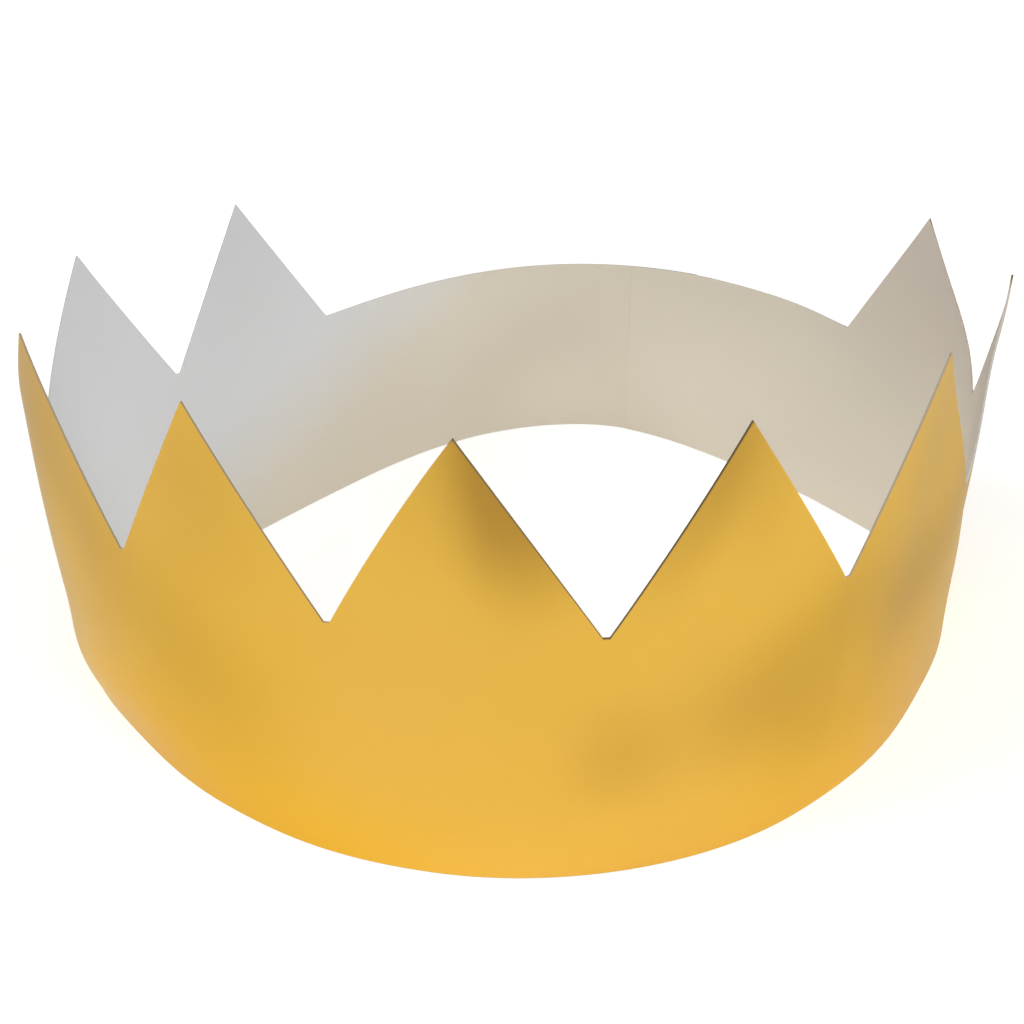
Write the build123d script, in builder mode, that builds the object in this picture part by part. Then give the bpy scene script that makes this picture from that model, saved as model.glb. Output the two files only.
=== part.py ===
from build123d import *
import math
import os

os.makedirs("parts", exist_ok=True)

# A paper crown made from one strip of metallic card. The strip's top edge is cut into a row of
# nine equal points with a plain stretch left at its ends, the strip is bent into a loop, and its
# two ends are lapped and glued at the back. Millimetres, +Z up, middle point towards -Y.

# The cut strip, as it lies flat: the points share what the plain stretch leaves of the loop
card = 0.4
band_height = 53.0
tip_height = 89.0
plain_length = 175.0
point_count = 9
root_flat = 1.2

# The glued lap, and how far its inner end stands from the middle of the plain stretch
lap = 20.0
lap_offset = 14.5

# The hand-bent loop seen from above: its radius at even bearings, from the middle point round
# towards +X. It is wide at the sides and flattened at the back left.
loop_radii = [112, 108, 101, 101, 84, 84, 81, 72, 68, 80, 114, 112]

# Each panel of the bent card is a smooth sheet through a few stations
stations = 8


def bearing_point(index):
    bearing = math.radians(360 / len(loop_radii) * index)
    radius = loop_radii[index]
    return Vector(radius * math.sin(bearing), -radius * math.cos(bearing))


# The loop that the card follows, moved so that its own box is centred on the origin
loop_points = [bearing_point(index) for index in range(len(loop_radii))]
with BuildLine() as rough_loop:
    Spline(*loop_points, periodic=True)
loop_centre = rough_loop.line.bounding_box().center()
with BuildLine() as centred_loop:
    loop = Spline(*[loop_point - loop_centre for loop_point in loop_points], periodic=True)

point_pitch = (loop.length - plain_length) / point_count
first_root = -point_pitch * point_count / 2
inner_end = loop.length / 2 - lap_offset
outer_end = inner_end - lap


def along(distance):
    """Point, direction and outward normal of the loop, at a distance from the middle point."""
    wrapped = distance % loop.length
    point = loop.position_at(wrapped, position_mode=PositionMode.LENGTH)
    direction = loop.tangent_at(wrapped, position_mode=PositionMode.LENGTH)
    outward = Vector(direction.Y, -direction.X)
    return point, direction, outward


def face_point(distance, side):
    """A point on the outer (side 1) or inner (side -1) face of the card.

    The card starts at its outer end and winds inwards by its own thickness in each turn, so the
    two layers of the lap touch, and each free end shows as a step of one thickness.
    """
    point, direction, outward = along(distance)
    winding = card * (0.5 - (distance - outer_end) / loop.length)
    return point + outward * (winding + side * card / 2)


def face_line(start, end, side):
    """The outer or inner face of a panel, seen from above."""
    places = [start + (end - start) * k / stations for k in range(stations + 1)]
    Spline(
        *[face_point(place, side) for place in places],
        tangents=(along(start)[1], along(end)[1]),
        tangent_scalars=(1, 1),
    )


def point_outline(middle):
    """A point seen straight on: its tip, and the feet of its two cuts."""
    tip, direction, outward = along(middle)
    half_width = point_pitch / 2 - root_flat / 2
    left = (along(middle - half_width)[0] - tip).dot(direction)
    right = (along(middle + half_width)[0] - tip).dot(direction)
    return [(left, 0), (left, band_height), (0, tip_height), (right, band_height), (right, 0)]


# The cut line, as a solid that holds the band's height all round and each point's outline
with BuildPart() as cut_line:
    with BuildSketch():
        Rectangle(3 * max(loop_radii), 3 * max(loop_radii))
    extrude(amount=band_height)
    for number in range(point_count):
        middle = first_root + point_pitch * (number + 0.5)
        tip, direction, outward = along(middle)
        with BuildSketch(Plane(origin=tip, x_dir=direction, z_dir=outward)):
            Polygon(*point_outline(middle), align=None)
        extrude(amount=point_pitch / 2, both=True)

# One turn of the card outside the lap, in panels that end at the roots between the points
roots = [first_root + loop.length + point_pitch * number for number in range(point_count + 1)]
panel_ends = [inner_end, *roots, outer_end + loop.length]

# The crown: the bent strip at full height, doubled at the lap, trimmed along the cut line
with BuildPart() as card_crown:
    for start, end in zip(panel_ends, panel_ends[1:]):
        with BuildSketch():
            with BuildLine():
                face_line(start, end, 1)
                face_line(start, end, -1)
                Line(face_point(start, 1), face_point(start, -1))
                Line(face_point(end, 1), face_point(end, -1))
            make_face()
        extrude(amount=tip_height)
    with BuildSketch():
        with BuildLine():
            face_line(outer_end, inner_end, 1)
            face_line(outer_end + loop.length, inner_end + loop.length, -1)
            Line(face_point(outer_end, 1), face_point(outer_end + loop.length, -1))
            Line(face_point(inner_end, 1), face_point(inner_end + loop.length, -1))
        make_face()
    extrude(amount=tip_height)
    add(cut_line.part, mode=Mode.INTERSECT)

card_crown.part.label = "card_crown"
export_step(card_crown.part, "parts/card_crown.step")

print(f"strip length {loop.length + lap:.1f} mm, loop {loop.length:.1f} mm round")
print(f"volume {card_crown.part.volume:.0f} mm3, solids {len(card_crown.part.solids())}")
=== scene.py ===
import math

import bmesh
import bpy
import numpy as np
from mathutils import Matrix, Vector


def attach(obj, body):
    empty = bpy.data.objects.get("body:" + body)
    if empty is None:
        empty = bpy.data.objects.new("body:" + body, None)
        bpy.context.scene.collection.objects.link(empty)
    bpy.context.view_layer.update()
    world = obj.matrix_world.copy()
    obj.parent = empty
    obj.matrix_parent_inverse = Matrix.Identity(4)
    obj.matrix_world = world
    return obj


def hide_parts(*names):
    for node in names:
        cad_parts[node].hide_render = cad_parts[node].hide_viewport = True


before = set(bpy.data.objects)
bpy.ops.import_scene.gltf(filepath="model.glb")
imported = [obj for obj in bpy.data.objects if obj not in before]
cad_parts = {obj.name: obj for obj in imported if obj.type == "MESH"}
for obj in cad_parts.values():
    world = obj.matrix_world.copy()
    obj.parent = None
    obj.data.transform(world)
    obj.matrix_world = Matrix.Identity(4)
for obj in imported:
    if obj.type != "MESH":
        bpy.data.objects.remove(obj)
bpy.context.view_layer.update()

# The loop
# The card is bent by hand into a skewed loop, wide at the sides and flattened at the back left,
# and stands on its bottom edge. Its line is a smooth closed curve through radii at even bearings,
# from the middle point of the front round towards +X, centred on its own box. Millimetres.
LOOP_RADII = (112, 108, 101, 101, 84, 84, 81, 72, 68, 80, 114, 112)
LOOP_SAMPLES = 4800


def smooth_closed_curve(corners, samples):
    """Points of the curve with continuous bending that passes through the corners."""
    count = len(corners)
    steps = np.linalg.norm(np.roll(corners, -1, axis=0) - corners, axis=1)
    slopes = (np.roll(corners, -1, axis=0) - corners) / steps[:, None]
    matrix = np.zeros((count, count))
    right_side = np.zeros((count, 2))
    for i in range(count):
        before, after = steps[i - 1], steps[i]
        matrix[i, i - 1] += after
        matrix[i, i] += 2 * (before + after)
        matrix[i, (i + 1) % count] += before
        right_side[i] = 3 * (after * slopes[i - 1] + before * slopes[i])
    tangents = np.linalg.solve(matrix, right_side)
    places = np.linspace(0, steps.sum(), samples + 1)[:-1]
    starts = np.concatenate([[0], np.cumsum(steps)])
    i = np.searchsorted(starts, places, side="right") - 1
    j = (i + 1) % count
    t = ((places - starts[i]) / steps[i])[:, None]
    span = steps[i][:, None]
    return (
        (2 * t**3 - 3 * t**2 + 1) * corners[i]
        + (t**3 - 2 * t**2 + t) * span * tangents[i]
        + (3 * t**2 - 2 * t**3) * corners[j]
        + (t**3 - t**2) * span * tangents[j]
    )


bearings = np.arange(len(LOOP_RADII)) * 2 * np.pi / len(LOOP_RADII)
radii = np.array(LOOP_RADII, float)
corners = np.stack([radii * np.sin(bearings), -radii * np.cos(bearings)], axis=1)
loop = smooth_closed_curve(corners, LOOP_SAMPLES)
loop -= (loop.max(axis=0) + loop.min(axis=0)) / 2
closed_loop = np.vstack([loop, loop[:1]])
loop_steps = np.linalg.norm(np.diff(closed_loop, axis=0), axis=1)
loop_places = np.concatenate([[0], np.cumsum(loop_steps)])
loop_length = loop_places[-1]
loop_headings = np.roll(loop, -1, axis=0) - np.roll(loop, 1, axis=0)
loop_headings /= np.linalg.norm(loop_headings, axis=1)[:, None]
closed_headings = np.vstack([loop_headings, loop_headings[:1]])


def along(distance):
    """Point and outward normal of the loop, at a distance from the middle point."""
    wrapped = distance % loop_length
    point = [np.interp(wrapped, loop_places, closed_loop[:, axis]) for axis in (0, 1)]
    heading = [np.interp(wrapped, loop_places, closed_headings[:, axis]) for axis in (0, 1)]
    return np.array(point), np.array([heading[1], -heading[0]])


# The card strip
# One strip of foil-faced card, cut along its top into nine equal points, wound once round the
# loop and glued to itself over a short lap at the back. It is cut flat and then bent, so every
# column of the sheet keeps its place along the strip. Millimetres along, up and out of the card.
CARD = 0.4
BAND_HEIGHT = 53.0
TIP_HEIGHT = 89.0
PLAIN_LENGTH = 175.0
POINT_COUNT = 9
ROOT_FLAT = 1.2
MM = 0.001

# The lap, how far its inner end stands from the middle of the plain stretch, the glue in it, and
# the share of the card's thickness that its pressed inner end keeps, over a short length
LAP = 20.0
LAP_OFFSET = 14.5
GLUE_GAP = 0.03
PRESSED = 0.3
PRESSED_LENGTH = 5.0

# The mesh of the flat strip, and how far its bottom edge stays above the table
COLUMN_WIDTH = 1.8
ROWS = 34
FOOT = 0.02

# Cut freehand along a marked line: each root's and tip's small error along the strip, and each
# tip's error in height, left to right round the front
ROOT_ERRORS = (-2.2, 0.0, 0.0, 0.3, 0.5, 0.5, 1.1, 0.0, 0.0, -1.2)
TIP_ERRORS = (0.0, -0.8, 0.0, 0.0, -0.3, 0.0, 0.0, 0.0, 0.0)
HEIGHT_ERRORS = (-0.1, -0.1, -0.1, -0.1, -0.1, -0.1, -0.1, -0.1, -1.5)

# The point whose left and right cut bow out from a straight line, and how far, in height
CUT_BOWS = {4: (1.6, 0.7)}

pitch = (loop_length - PLAIN_LENGTH) / POINT_COUNT
inner_end = loop_length / 2 - LAP_OFFSET
outer_end = inner_end - LAP
first_root = loop_length - pitch * POINT_COUNT / 2
roots = [first_root + pitch * number + error for number, error in enumerate(ROOT_ERRORS)]
tips = [first_root + pitch * (number + 0.5) + error for number, error in enumerate(TIP_ERRORS)]

# The cut line: stations along the strip with the card's height at each
cut_line = [(outer_end, BAND_HEIGHT), (inner_end, BAND_HEIGHT)]
for left_root, tip, error, right_root in zip(roots, tips, HEIGHT_ERRORS, roots[1:]):
    cut_line += [
        (left_root + ROOT_FLAT / 2, BAND_HEIGHT),
        (tip, TIP_HEIGHT + error),
        (right_root - ROOT_FLAT / 2, BAND_HEIGHT),
    ]
cut_line += [(outer_end + loop_length, BAND_HEIGHT), (inner_end + loop_length, BAND_HEIGHT)]

columns = [outer_end]
for (start, _), (end, _) in zip(cut_line, cut_line[1:]):
    divisions = max(1, round((end - start) / COLUMN_WIDTH))
    columns += [start + (end - start) * (k + 1) / divisions for k in range(divisions)]
tops = np.interp(columns, [place for place, _ in cut_line], [top for _, top in cut_line])
for number, bows in CUT_BOWS.items():
    for foot, bow in zip(roots[number : number + 2], bows):
        share = (np.array(columns) - foot) / (tips[number] - foot)
        tops += np.where((share > 0) & (share < 1), bow * 4 * share * (1 - share), 0)


def hill(x):
    """A smooth hill of height 1 at 0 that ends at 1 on either side."""
    return math.cos(min(abs(x), 1.0) * math.pi / 2) ** 2


def slope_up(x):
    """A smooth rise from 0 at 0 to 1 at 1."""
    x = min(max(x, 0.0), 1.0)
    return x * x * (3 - 2 * x)


def hills(patches, place, height):
    """The sum of soft hills at a place on the flat strip.

    Each hill is its place from the middle point, its height, its half length and half height,
    and how much it adds.
    """
    from_middle = (place + loop_length / 2) % loop_length - loop_length / 2
    total = 0.0
    for middle, level, half_length, half_height, amount in patches:
        apart = (from_middle - middle + loop_length / 2) % loop_length - loop_length / 2
        total += amount * hill(apart / half_length) * hill((height - level) / half_height)
    return total


# How far each point leans out (or in, below zero) at its tip, left to right round the front
LEANS = (0.0, -0.6, 0.0, 0.0, -2.4, -1.6, 0.9, -0.8, -1.6)
LEAN_FROM = 30.0
LEAN_BEND = 1.5

# Shallow swells (or dents, below zero) that bending by hand left in the card, as hills
DENTS = (
    (-100.0, 50.0, 14.0, 48.0, 1.2),
    (-98.0, 11.0, 18.0, 15.0, 0.8),
    (-94.0, -6.0, 42.0, 24.0, -3.7),
    (-34.0, 0.0, 28.0, 34.0, 0.5),
    (98.0, 0.0, 30.0, 30.0, 0.9),
    (117.0, 62.0, 20.0, 60.0, 1.6),
    (144.0, 52.0, 22.0, 34.0, -2.2),
    (150.0, 14.0, 30.0, 32.0, -0.8),
    (177.0, 54.0, 18.0, 30.0, 1.8),
    (230.0, 60.0, 30.0, 50.0, 2.0),
    (256.0, 0.0, 44.0, 46.0, -4.6),
)


def out_of_true(place, height):
    """How far the bent card stands off its plain upright surface."""
    offset = 0.0
    for tip, lean in zip(tips, LEANS):
        rise = max(0.0, (height - LEAN_FROM) / (TIP_HEIGHT - LEAN_FROM))
        offset += lean * rise**LEAN_BEND * hill((place - tip) / pitch)
    return offset + hills(DENTS, place, height)


# Painted shade and dark reflections on the foil (or painted light, below zero), as hills
PAINTED_SHADE_EVERYWHERE = 0.19
PAINTED_SHADE = (
    (28.0, 28.0, 16.0, 18.0, 0.24),
    (50.0, 33.0, 20.0, 20.0, 0.28),
    (64.0, 41.0, 17.0, 20.0, 0.20),
    (66.0, 25.0, 16.0, 18.0, 0.16),
    (77.0, 46.0, 16.0, 20.0, 0.18),
    (90.0, 40.0, 16.0, 20.0, 0.10),
    (101.0, 40.0, 23.0, 22.0, 0.28),
    (76.0, 0.0, 48.0, 26.0, -0.19),
    (-3.0, 86.0, 16.0, 28.0, 0.22),
    (49.0, 86.0, 14.0, 30.0, 0.34),
    (98.0, 76.0, 16.0, 30.0, 0.16),
    (117.0, 68.0, 18.0, 42.0, 0.20),
    (-94.0, 10.0, 36.0, 28.0, -0.19),
    (-66.0, 44.0, 28.0, 26.0, 0.12),
    (-50.0, 30.0, 30.0, 26.0, 0.14),
    (-47.0, 76.0, 24.0, 34.0, 0.20),
    (-80.0, 54.0, 18.0, 22.0, 0.14),
    (-97.0, 76.0, 26.0, 40.0, 0.44),
)

# The same along a cut: point, side (-1 left, 1 right), width from the cut, how much, and the share
# of the cut, from the tip, where it ends and over which it fades. It also fades out round the tip.
PAINTED_SHADE_CUTS = ((4, 1, 19.0, 0.76, 0.92, 0.54), (5, -1, 12.0, 0.42, 0.98, 0.60))
PAINTED_SHADE_ROUND_TIP = 6.0


def painted_shade(place, height):
    """How much painted shade and dark reflection darkens the foil, from 0 to 1."""
    amount = PAINTED_SHADE_EVERYWHERE + hills(PAINTED_SHADE, place, height)
    drop = TIP_HEIGHT - BAND_HEIGHT
    for number, side, width, much, end, fade in PAINTED_SHADE_CUTS:
        if roots[number] < place < roots[number + 1]:
            foot = roots[number + 1] if side > 0 else roots[number]
            run = abs(foot - tips[number])
            sideways = side * (place - tips[number])
            down = TIP_HEIGHT - height
            cut_length = math.hypot(run, drop)
            inside = (down * run - sideways * drop) / cut_length
            share = (sideways * run + down * drop) / cut_length**2
            near_side = slope_up((sideways + PAINTED_SHADE_ROUND_TIP) / (2 * PAINTED_SHADE_ROUND_TIP))
            amount += much * hill(inside / width) * near_side * slope_up((end - share) / fade)
    return min(max(amount, 0.0), 1.0)


# Painted sheen, as hills: deeper gold where the sheen is weak, lighter gold along the left rim
PAINTED_SHEEN_LOSS = (
    (-58.0, 22.0, 44.0, 60.0, 1.0),
    (-26.0, 0.0, 40.0, 26.0, 0.8),
    (76.0, 22.0, 38.0, 60.0, 0.9),
)
PAINTED_RIM_SHEEN = ((-99.0, 28.0, 17.0, 110.0, 0.65),)

# Soft places of painted light on the board inside (or painted shade, below zero), as hills
BOARD_PAINTED_LIGHT = (
    (-298.0, 8.0, 34.0, 26.0, 1.0),
    (-188.0, 20.0, 36.0, 36.0, 0.4),
    (-188.0, 89.0, 34.0, 50.0, -0.75),
    (-143.0, 89.0, 22.0, 26.0, -0.4),
    (-141.0, 22.0, 26.0, 52.0, 1.15),
)

# How much painted shade each point's left and right cut carries, left to right round the front:
# 0 clean board, 0.5 brown, and at 1 dark, with a fine painted shade line beside the cut
CUT_PAINTED_SHADES = (
    (0.0, 0.0),
    (0.0, 0.0),
    (0.2, 0.45),
    (0.2, 0.5),
    (0.35, 1.0),
    (1.0, 0.3),
    (0.35, 0.3),
    (0.0, 1.0),
    (0.3, 0.8),
)
AT_THE_TIP = 0.02


def painted_cut_shade(place):
    """How much painted shade the cut carries at a place along the strip."""
    tone = 0.0
    for left_root, tip, right_root, (left, right) in zip(roots, tips, roots[1:], CUT_PAINTED_SHADES):
        if left_root < place < tip + AT_THE_TIP:
            tone = max(tone, left)
        if tip - AT_THE_TIP < place < right_root:
            tone = max(tone, right)
    return tone


# The strip as it is cut, flat, with its own map and layers of painted light and shade
strip = bmesh.new()
bmesh.ops.create_grid(strip, x_segments=len(columns) - 1, y_segments=ROWS, size=1)
flat_map = strip.loops.layers.uv.new("along_the_strip")
painted_shade_layer = strip.verts.layers.float.new("painted_shade")
painted_sheen_loss_layer = strip.verts.layers.float.new("painted_sheen_loss")
painted_rim_sheen_layer = strip.verts.layers.float.new("painted_rim_sheen")
board_painted_light_layer = strip.verts.layers.float.new("board_painted_light")
painted_cut_shade_layer = strip.verts.layers.float.new("painted_cut_shade")
for vertex in strip.verts:
    column = round((vertex.co.x + 1) / 2 * (len(columns) - 1))
    share = (vertex.co.y + 1) / 2
    at_cut = share > 1 - 0.5 / ROWS
    vertex.co = (columns[column], 0, max(tops[column] * share, FOOT))
    vertex[painted_cut_shade_layer] = painted_cut_shade(columns[column]) if at_cut else 0.0
for face in strip.faces:
    for corner in face.loops:
        corner[flat_map].uv = (corner.vert.co.x * MM, corner.vert.co.z * MM)

# The strip bent round the loop. The winding brings its inner layer in by the card and its glue.
from_inner_end = []
for vertex in strip.verts:
    place, _, height = vertex.co
    from_inner_end.append(inner_end + loop_length - place)
    # Painted shade, sheen and light, kept on the sheet for the finishes
    vertex[painted_shade_layer] = painted_shade(place, height)
    vertex[painted_sheen_loss_layer] = min(hills(PAINTED_SHEEN_LOSS, place, height), 1.0)
    vertex[painted_rim_sheen_layer] = hills(PAINTED_RIM_SHEEN, place, height)
    vertex[board_painted_light_layer] = hills(BOARD_PAINTED_LIGHT, place, height)
    point, outward = along(place)
    winding = (CARD + GLUE_GAP) * (0.5 - (place - outer_end) / loop_length) - GLUE_GAP
    out = winding + CARD / 2 + out_of_true(place, height)
    vertex.co = ((point[0] + outward[0] * out) * MM, (point[1] + outward[1] * out) * MM, height * MM)

# The foil side faces out, and only the cut edges are sharp
FRONT = Vector((0, -0.1, 0.02))
bmesh.ops.recalc_face_normals(strip, faces=strip.faces)
front_face = min(strip.faces, key=lambda face: (face.calc_center_median() - FRONT).length)
if front_face.normal.y > 0:
    bmesh.ops.reverse_faces(strip, faces=strip.faces)
for face in strip.faces:
    face.smooth = True
for cut in strip.edges:
    if cut.is_boundary:
        cut.smooth = False

sheet_mesh = bpy.data.meshes.new("crown_sheet")
strip.to_mesh(sheet_mesh)
strip.free()
crown_sheet = bpy.data.objects.new("crown_sheet", sheet_mesh)
bpy.context.collection.objects.link(crown_sheet)
full_thickness = crown_sheet.vertex_groups.new(name="full_thickness")
for vertex in sheet_mesh.vertices:
    kept = PRESSED + (1 - PRESSED) * slope_up(from_inner_end[vertex.index] / PRESSED_LENGTH)
    full_thickness.add([vertex.index], kept, "REPLACE")
thickness = crown_sheet.modifiers.new("card", "SOLIDIFY")
thickness.thickness = CARD * MM
thickness.offset = -1
thickness.use_even_offset = True
thickness.vertex_group = "full_thickness"
thickness.material_offset = 1
thickness.material_offset_rim = 2
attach(crown_sheet, "root")
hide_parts("card_crown")


# The card's finishes
# Outside, a satin gold foil laminated to the board, under a thin clear film. Inside, the white
# board. Both carry painted light and shade. The cut edges run from clean board to painted brown
# and dark shade.
class Value:
    """A shader socket that can be used in an expression."""

    def __init__(self, nodes, socket):
        self.nodes = nodes
        self.socket = socket

    def math(self, operation, first, second):
        return self.nodes.node("ShaderNodeMath", inputs={0: first, 1: second}, operation=operation)

    def __add__(self, other):
        return self.math("ADD", self, other)

    def __sub__(self, other):
        return self.math("SUBTRACT", self, other)

    def __rsub__(self, other):
        return self.math("SUBTRACT", other, self)

    def __mul__(self, other):
        return self.math("MULTIPLY", self, other)

    __radd__ = __add__
    __rmul__ = __mul__


class Nodes:
    """The shader nodes of a material or of the room."""

    def __init__(self, tree):
        self.tree = tree

    def plug(self, source, entry):
        if isinstance(source, Value):
            self.tree.links.new(source.socket, entry)
        else:
            entry.default_value = source

    def node(self, kind, output=0, inputs=None, **settings):
        """A new node's output. Its settings come first, then the values or links of its sockets."""
        node = self.tree.nodes.new(kind)
        for name, value in settings.items():
            setattr(node, name, value)
        for name, source in (inputs or {}).items():
            self.plug(source, node.inputs[name])
        return Value(self, node.outputs[output])


class Finish(Nodes):
    """A material, with patterns on Object coordinates."""

    def __init__(self, name):
        self.material = bpy.data.materials.new(name)
        self.material.use_nodes = True
        super().__init__(self.material.node_tree)
        self.shader = self.tree.nodes["Principled BSDF"]
        self.place = self.node("ShaderNodeTexCoord", "Object")

    def marked(self, layer):
        """The number that the sheet's own mesh carries at each place."""
        return self.node("ShaderNodeAttribute", "Fac", attribute_name=layer)

    def noise(self, per_metre, detail=2.0, roughness=0.5):
        inputs = {"Vector": self.place, "Scale": per_metre, "Detail": detail, "Roughness": roughness}
        return self.node("ShaderNodeTexNoise", inputs=inputs)

    def between(self, value, low, high, to_low=0.0, to_high=1.0):
        inputs = {"Value": value, "From Min": low, "From Max": high, "To Min": to_low, "To Max": to_high}
        return self.node("ShaderNodeMapRange", inputs=inputs)

    def mix_colour(self, factor, first, second):
        return self.node("ShaderNodeMix", 2, {0: factor, 6: first, 7: second}, data_type="RGBA")

    def bump(self, height, strength, depth):
        inputs = {"Strength": strength, "Distance": depth, "Height": height}
        return self.node("ShaderNodeBump", inputs=inputs)

    def set(self, **sockets):
        for name, source in sockets.items():
            self.plug(source, self.shader.inputs[name.replace("_", " ")])


# The foil's gold with painted sheen and painted shade, its tint at the edge of the view, and the
# fine painted shade line along a dark cut
FOIL_GOLD = (0.96, 0.594, 0.094, 1)
FOIL_DEEP = (0.95, 0.578, 0.030, 1)
FOIL_PAINTED_RIM_SHEEN = (1.0, 0.67, 0.19, 1)
FOIL_PAINTED_SHADE = (0.51, 0.29, 0.044, 1)
FOIL_EDGE_TINT = (0.84, 0.88, 0.90, 1)
FOIL_PAINTED_CUT_LINE = (0.28, 0.18, 0.07, 1)
LINE_FROM = 0.78
LINE_TO = 0.97

# Soft clouds, a fine sparkle and the board's fibres under the foil, in repeats to the metre, and
# what they do: clouds share in the deeper gold, clouds and sparkle roughen, fibres stand up
CLOUDS = 14.0
CLOUDS_FROM = 0.35
CLOUDS_TO = 0.65
CLOUDS_DEEPEN = 0.1
SPARKLE = 2600.0
FIBRES = 900.0
FIBRE_STRENGTH = 0.25
FIBRE_DEPTH = 0.00004
FOIL_ROUGHNESS = 0.34
ROUGHENED = 0.05
FILM = 0.15
FILM_ROUGHNESS = 0.28

foil = Finish("gold_foil")
clouds = foil.between(foil.noise(CLOUDS, 3.0), CLOUDS_FROM, CLOUDS_TO)
sparkle = foil.noise(SPARKLE, 2.0, 0.6)
fibres = foil.noise(FIBRES, 3.0, 0.6)
# Deeper gold where the painted sheen is weak, with some of the clouds' random tone
deeper = foil.marked("painted_sheen_loss") * (1 - CLOUDS_DEEPEN) + clouds * CLOUDS_DEEPEN
gold = foil.mix_colour(deeper, FOIL_GOLD, FOIL_DEEP)
# Lighter gold, a painted sheen along the left rim
gold = foil.mix_colour(foil.marked("painted_rim_sheen"), gold, FOIL_PAINTED_RIM_SHEEN)
# Painted shade and dark reflections darken the gold
gold = foil.mix_colour(foil.marked("painted_shade"), gold, FOIL_PAINTED_SHADE)
# A fine painted shade line along a dark cut
painted_cut_line = foil.between(foil.marked("painted_cut_shade"), LINE_FROM, LINE_TO)
foil.set(
    Base_Color=foil.mix_colour(painted_cut_line, gold, FOIL_PAINTED_CUT_LINE),
    Metallic=1.0,
    Roughness=FOIL_ROUGHNESS + clouds * ROUGHENED + sparkle * ROUGHENED,
    Specular_Tint=FOIL_EDGE_TINT,
    Coat_Weight=FILM,
    Coat_Roughness=FILM_ROUGHNESS,
    Normal=foil.bump(fibres, FIBRE_STRENGTH, FIBRE_DEPTH),
)

# The board's white under painted cool light at the left, in painted warm shade towards the back
# and in painted shade at the right, and the fine painted shade line along a dark cut
BOARD_PAINTED_COOL_LIGHT = (0.84, 0.85, 0.88, 1)
BOARD_PAINTED_WARM_SHADE = (0.85, 0.785, 0.66, 1)
BOARD_SHADE = (0.76, 0.69, 0.60, 1)
BOARD_PAINTED_CUT_LINE = (0.26, 0.24, 0.21, 1)
BOARD_ROUGHNESS = 0.86
BOARD_PAINTED_LIGHT_BY = 0.11

# Where the painted warm shade starts and ends from left to right, in metres, how that line leans
# as it rises, and how it wanders. The painted shade at the right starts and ends along a line that
# leans the other way.
WARM_SHADE_FROM = -0.130
WARM_SHADE_TO = -0.083
WARM_SHADE_RISE = 1.26
WANDER = 9.0
WANDER_BY = 0.02
SHADE_FROM = 0.115
SHADE_TO = 0.165

# The mottled colour and the felted surface of the board, in repeats to the metre
MOTTLE = 60.0
MOTTLE_BY = 0.25
FELT = 1400.0
FELT_STRENGTH = 0.3
FELT_DEPTH = 0.00006

board = Finish("white_board")
across = board.node("ShaderNodeSeparateXYZ", "X", {"Vector": board.place})
up = board.node("ShaderNodeSeparateXYZ", "Z", {"Vector": board.place})
wander = (board.noise(WANDER) - 0.5) * WANDER_BY
painted_warm_shade = board.between(across - up * WARM_SHADE_RISE + wander, WARM_SHADE_FROM, WARM_SHADE_TO)
mottle = (board.noise(MOTTLE, 4.0, 0.6) - 0.5) * MOTTLE_BY
felt = board.noise(FELT, 4.0, 0.7)
# Painted cool light at the left and painted warm shade towards the back, with the board's random mottle
white = board.mix_colour(painted_warm_shade + mottle, BOARD_PAINTED_COOL_LIGHT, BOARD_PAINTED_WARM_SHADE)
# Painted light brightens the board, and painted shade, below zero, darkens it
board_painted_lightness = 1 + board.marked("board_painted_light") * BOARD_PAINTED_LIGHT_BY
white = board.node("ShaderNodeVectorMath", inputs={0: white, "Scale": board_painted_lightness}, operation="SCALE")
white = board.mix_colour(board.between(across + up, SHADE_FROM, SHADE_TO), white, BOARD_SHADE)
# A fine painted shade line along a dark cut
painted_cut_line = board.between(board.marked("painted_cut_shade"), LINE_FROM, LINE_TO)
board.set(
    Base_Color=board.mix_colour(painted_cut_line, white, BOARD_PAINTED_CUT_LINE),
    Roughness=BOARD_ROUGHNESS,
    Normal=board.bump(felt, FELT_STRENGTH, FELT_DEPTH),
)

# The cut edge: clean board, with painted shade, brown to the middle of the tones and then dark
EDGE_CLEAN = (0.64, 0.61, 0.57, 1)
EDGE_PAINTED_BROWN_SHADE = (0.42, 0.31, 0.17, 1)
EDGE_PAINTED_DARK_SHADE = (0.13, 0.08, 0.03, 1)
EDGE_ROUGHNESS = 0.9
BROWN_SHADE_AT = 0.5

edge = Finish("cut_board")
edge_painted_shade = edge.marked("painted_cut_shade")
brown_shaded_edge = edge.mix_colour(edge.between(edge_painted_shade, 0.0, BROWN_SHADE_AT), EDGE_CLEAN, EDGE_PAINTED_BROWN_SHADE)
dark_shade_share = edge.between(edge_painted_shade, BROWN_SHADE_AT, 1.0)
edge.set(Base_Color=edge.mix_colour(dark_shade_share, brown_shaded_edge, EDGE_PAINTED_DARK_SHADE), Roughness=EDGE_ROUGHNESS)

for finish in (foil, board, edge):
    crown_sheet.data.materials.append(finish.material)


# The table
# A wide, plain white table just under the crown. It glows white to the camera, less so close to
# the crown, where it keeps the soft shadow, and the foil mirrors part of that glow.
TABLE_SIZE = 6.0
TABLE_DROP = 0.0002
TABLE_WHITE = (0.86, 0.86, 0.86, 1)
TABLE_ROUGHNESS = 0.7
TABLE_SHINE = 0.2
NEAR = 0.10
FAR = 0.70
NEAR_GLOW = 0.46
FAR_GLOW = 1.0
MIRRORED = 0.3
BLACK = (0, 0, 0, 1)
WHITE = (1, 1, 1, 1)

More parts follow.
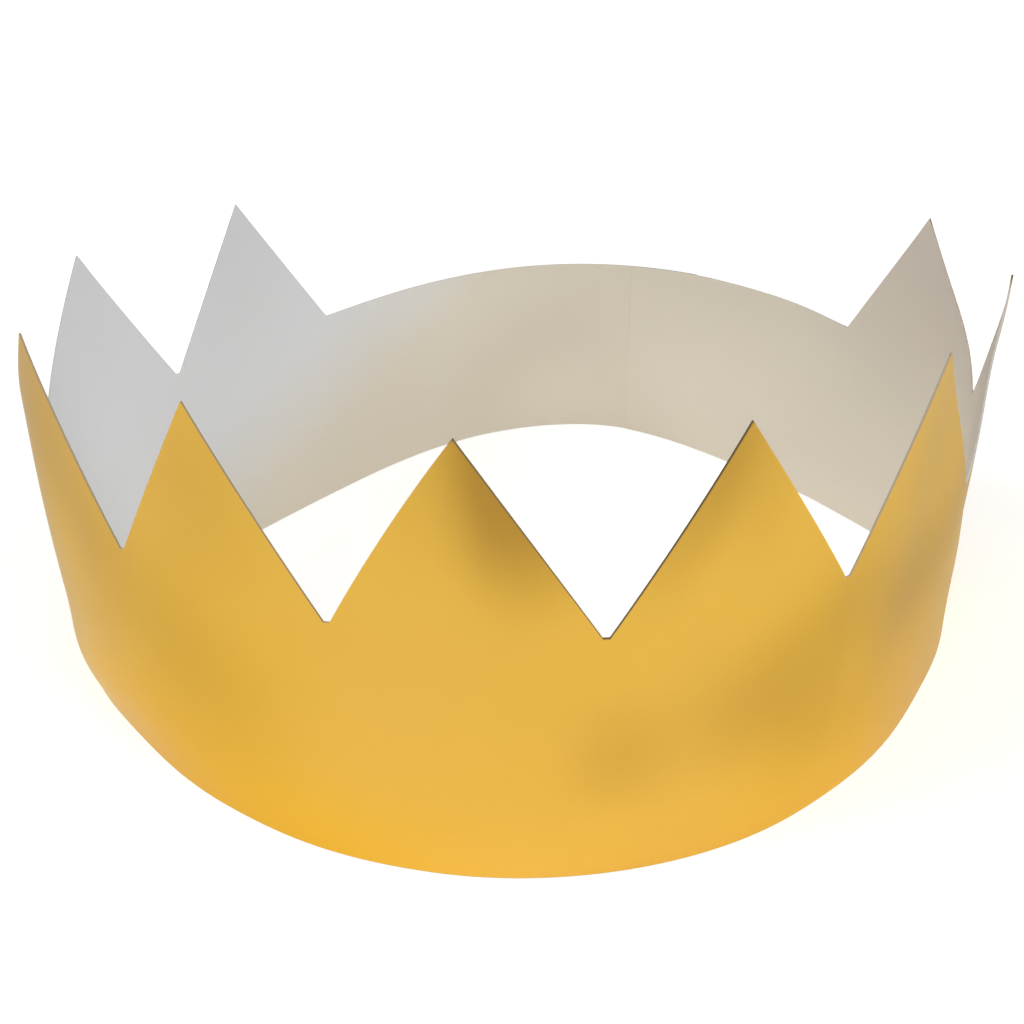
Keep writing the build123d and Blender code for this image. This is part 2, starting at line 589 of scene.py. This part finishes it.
bpy.ops.mesh.primitive_plane_add(size=TABLE_SIZE, location=(0, 0, -TABLE_DROP))
table = bpy.context.object
table.name = "table"
table_top = Finish("white_table")
from_middle = table_top.node("ShaderNodeVectorMath", "Value", {0: table_top.place}, operation="LENGTH")
glow = table_top.between(from_middle, NEAR, FAR, NEAR_GLOW, FAR_GLOW)
direct = table_top.node("ShaderNodeLightPath", "Is Camera Ray")
mirrored = table_top.node("ShaderNodeLightPath", "Is Glossy Ray")
table_top.set(
    Base_Color=TABLE_WHITE,
    Roughness=TABLE_ROUGHNESS,
    Specular_IOR_Level=TABLE_SHINE,
    Emission_Color=table_top.mix_colour((direct + mirrored * MIRRORED) * glow, BLACK, WHITE),
    Emission_Strength=1.0,
)
table.data.materials.append(table_top.material)


# The room and its lamps
# A dim, even room that shows white to the camera. Three soft lamps stand at the left, at the right
# and overhead, two cooler ones at the right like windows, and a small warm one at the front.
ROOM = (0.10, 0.10, 0.10, 1)
world = bpy.data.worlds.new("room")
bpy.context.scene.world = world
world.use_nodes = True
room = Nodes(world.node_tree)
dim_wall = room.tree.nodes["Background"]
room.plug(ROOM, dim_wall.inputs["Color"])
white_wall = room.node("ShaderNodeBackground", inputs={"Color": WHITE})
direct = room.node("ShaderNodeLightPath", "Is Camera Ray")
mirrored = room.node("ShaderNodeLightPath", "Is Glossy Ray")
walls = room.node(
    "ShaderNodeMixShader",
    inputs={0: direct + mirrored * MIRRORED, 1: Value(room, dim_wall.outputs[0]), 2: white_wall},
)
room.plug(walls, room.tree.nodes["World Output"].inputs["Surface"])


def lamp(name, place, target, size, power, colour):
    light = bpy.data.lights.new(name, "AREA")
    light.shape = "DISK"
    light.size = size
    light.energy = power
    light.color = colour
    holder = bpy.data.objects.new(name, light)
    bpy.context.collection.objects.link(holder)
    holder.location = place
    holder.rotation_euler = (Vector(target) - Vector(place)).to_track_quat("-Z", "Y").to_euler()


CROWN_MIDDLE = (0.0, 0.0, 0.04)
TABLE_FRONT = (0.0, -0.2, 0.0)
lamp("left_softbox", (-0.864, -0.314, 0.811), CROWN_MIDDLE, 0.7, 5.7, (1.0, 0.99, 0.99))
lamp("right_softbox", (0.864, -0.314, 0.811), CROWN_MIDDLE, 0.7, 3.1, (0.99, 1.0, 0.97))
lamp("overhead_softbox", (0.052, -0.367, 1.181), CROWN_MIDDLE, 0.7, 2.7, (1.0, 0.99, 0.92))
lamp("window", (0.725, -0.864, 0.450), CROWN_MIDDLE, 0.7, 1.6, (0.95, 0.95, 1.0))
lamp("side_window", (1.159, 0.0, 0.351), CROWN_MIDDLE, 0.5, 2.4, (0.90, 0.96, 1.0))
lamp("table_lamp", (0.0, -0.45, 0.433), TABLE_FRONT, 0.25, 0.32, (1.0, 0.92, 0.90))

# The camera
# It stands at the photograph's viewing angle, at the front a little to the right of the crown's
# middle, looks down at it, and is turned and rolled by a few degrees.
CAMERA_PLACE = (0.03052, -0.25458, 0.16992)
CAMERA_TURN = 8.175
CAMERA_TILT = 29.928
CAMERA_ROLL = -0.515
CAMERA_LENS = 42.603
CAMERA_SENSOR = 36.0
camera = bpy.data.objects.new("camera", bpy.data.cameras.new("camera"))
bpy.context.collection.objects.link(camera)
camera.data.sensor_width = CAMERA_SENSOR
camera.data.lens = CAMERA_LENS
turn = Matrix.Rotation(math.radians(CAMERA_TURN), 4, "Z")
tilt = Matrix.Rotation(math.radians(90 - CAMERA_TILT), 4, "X")
roll = Matrix.Rotation(math.radians(CAMERA_ROLL), 4, "Z")
camera.matrix_world = Matrix.Translation(CAMERA_PLACE) @ turn @ tilt @ roll
bpy.context.scene.camera = camera
bpy.context.scene.view_settings.view_transform = "Standard"
